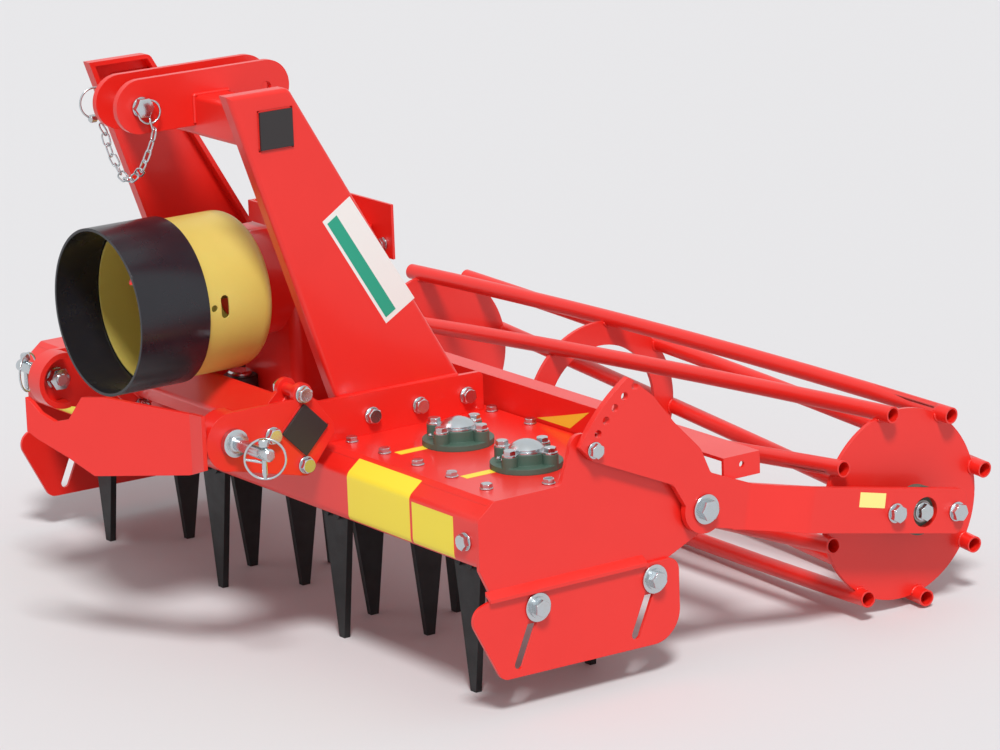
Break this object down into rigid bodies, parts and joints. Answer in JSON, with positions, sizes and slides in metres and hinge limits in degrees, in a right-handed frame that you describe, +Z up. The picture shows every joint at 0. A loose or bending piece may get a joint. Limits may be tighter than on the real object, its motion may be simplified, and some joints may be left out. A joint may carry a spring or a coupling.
{
  "type": "power harrow",
  "caption": "Compact mounted power harrow with twin-tine rotors under a gear trough, three-point mast, shaft shield and cage roller",
  "frame": {"origin": "middle of the bounding box at ground level, under the tine tips and the roller", "axes": "+X across the working width toward the right-hand end seen from the tractor, +Y rearward to the roller, +Z up"},
  "size_m": [1.574, 1.5048, 1.007],
  "materials": {
    "red_paint": "gloss signal red machinery paint",
    "casting": "dark grey-green painted casting",
    "zinc": "bright zinc plating",
    "gear_steel": "oiled gear steel",
    "bright_steel": "machined steel",
    "tine_steel": "dark tempered spring steel",
    "black_plastic": "moulded black plastic",
    "shield_plastic": "translucent ochre plastic"
  },
  "bodies": {
    "harrow": {"trough": "red_paint", "trough_cover": "red_paint", "gear_train": "gear_steel", "rotor_bearings": "casting", "bearing_caps": "zinc", "end_plate_left": "red_paint", "end_plate_right": "red_paint", "side_deflector_left": "red_paint", "side_deflector_right": "red_paint", "rear_panel": "red_paint", "mast_leg_left": "red_paint", "mast_leg_right": "red_paint", "mast_foot_plate_left": "red_paint", "mast_foot_plate_right": "red_paint", "mast_cross_tube": "red_paint", "top_link_plate_left": "red_paint", "top_link_plate_right": "red_paint", "top_link_pin": "zinc", "gearbox": "casting", "gearbox_guard": "red_paint", "shield_front": "black_plastic", "shield_rear": "shield_plastic", "lower_hitch_beam": "red_paint", "hitch_bracket_left": "red_paint", "hitch_bracket_right": "red_paint", "hitch_pin_left": "zinc", "hitch_pin_right": "zinc", "shaft_rest": "red_paint", "tube_end_caps": "black_plastic", "arm_pivot_left": "zinc", "arm_pivot_right": "zinc"},
    "input_stub": {"pto_stub": "bright_steel"},
    "roller_frame": {"roller_arm_left": "red_paint", "roller_arm_right": "red_paint", "roller_cross_beam": "red_paint", "roller_bearings": "casting"},
    "roller": {"roller_cage": "red_paint", "roller_stubs": "bright_steel"},
    "rotor_1": {"rotor_1_holder": "casting", "rotor_1_tines": "tine_steel"},
    "rotor_2": {"rotor_2_holder": "casting", "rotor_2_tines": "tine_steel"},
    "rotor_3": {"rotor_3_holder": "casting", "rotor_3_tines": "tine_steel"},
    "rotor_4": {"rotor_4_holder": "casting", "rotor_4_tines": "tine_steel"},
    "rotor_5": {"rotor_5_holder": "casting", "rotor_5_tines": "tine_steel"},
    "rotor_6": {"rotor_6_holder": "casting", "rotor_6_tines": "tine_steel"},
    "rotor_7": {"rotor_7_holder": "casting", "rotor_7_tines": "tine_steel"}
  },
  "joints": [
    {"name": "rotor_1_turn", "type": "hinge", "parent": "harrow", "child": "rotor_1", "pos_m": [-0.6, -0.15354, 0.258], "axis": [0, 0, 1], "continuous": true},
    {"name": "rotor_2_turn", "type": "hinge", "parent": "harrow", "child": "rotor_2", "pos_m": [-0.4, -0.15354, 0.258], "axis": [0, 0, 1], "continuous": true},
    {"name": "rotor_3_turn", "type": "hinge", "parent": "harrow", "child": "rotor_3", "pos_m": [-0.2, -0.15354, 0.258], "axis": [0, 0, 1], "continuous": true},
    {"name": "rotor_4_turn", "type": "hinge", "parent": "harrow", "child": "rotor_4", "pos_m": [0, -0.15354, 0.258], "axis": [0, 0, 1], "continuous": true},
    {"name": "rotor_5_turn", "type": "hinge", "parent": "harrow", "child": "rotor_5", "pos_m": [0.2, -0.15354, 0.258], "axis": [0, 0, 1], "continuous": true},
    {"name": "rotor_6_turn", "type": "hinge", "parent": "harrow", "child": "rotor_6", "pos_m": [0.4, -0.15354, 0.258], "axis": [0, 0, 1], "continuous": true},
    {"name": "rotor_7_turn", "type": "hinge", "parent": "harrow", "child": "rotor_7", "pos_m": [0.6, -0.15354, 0.258], "axis": [0, 0, 1], "continuous": true},
    {"name": "input_turn", "type": "hinge", "parent": "harrow", "child": "input_stub", "pos_m": [0, -0.42453, 0.608], "axis": [0, 1, 0], "continuous": true},
    {"name": "roller_height", "type": "hinge", "parent": "harrow", "child": "roller_frame", "pos_m": [0, 0.10146, 0.281], "axis": [1, 0, 0], "range_deg": [0, 27]},
    {"name": "roller_turn", "type": "hinge", "parent": "roller_frame", "child": "roller", "pos_m": [0, 0.56046, 0.192], "axis": [1, 0, 0], "continuous": true}
  ],
  "couplings": [
    {"joint": "rotor_2_turn", "follows": "rotor_1_turn", "ratio": -1},
    {"joint": "rotor_3_turn", "follows": "rotor_1_turn", "ratio": 1},
    {"joint": "rotor_4_turn", "follows": "rotor_1_turn", "ratio": -1},
    {"joint": "rotor_5_turn", "follows": "rotor_1_turn", "ratio": 1},
    {"joint": "rotor_6_turn", "follows": "rotor_1_turn", "ratio": -1},
    {"joint": "rotor_7_turn", "follows": "rotor_1_turn", "ratio": 1},
    {"joint": "input_turn", "follows": "rotor_1_turn", "ratio": 2}
  ]
}
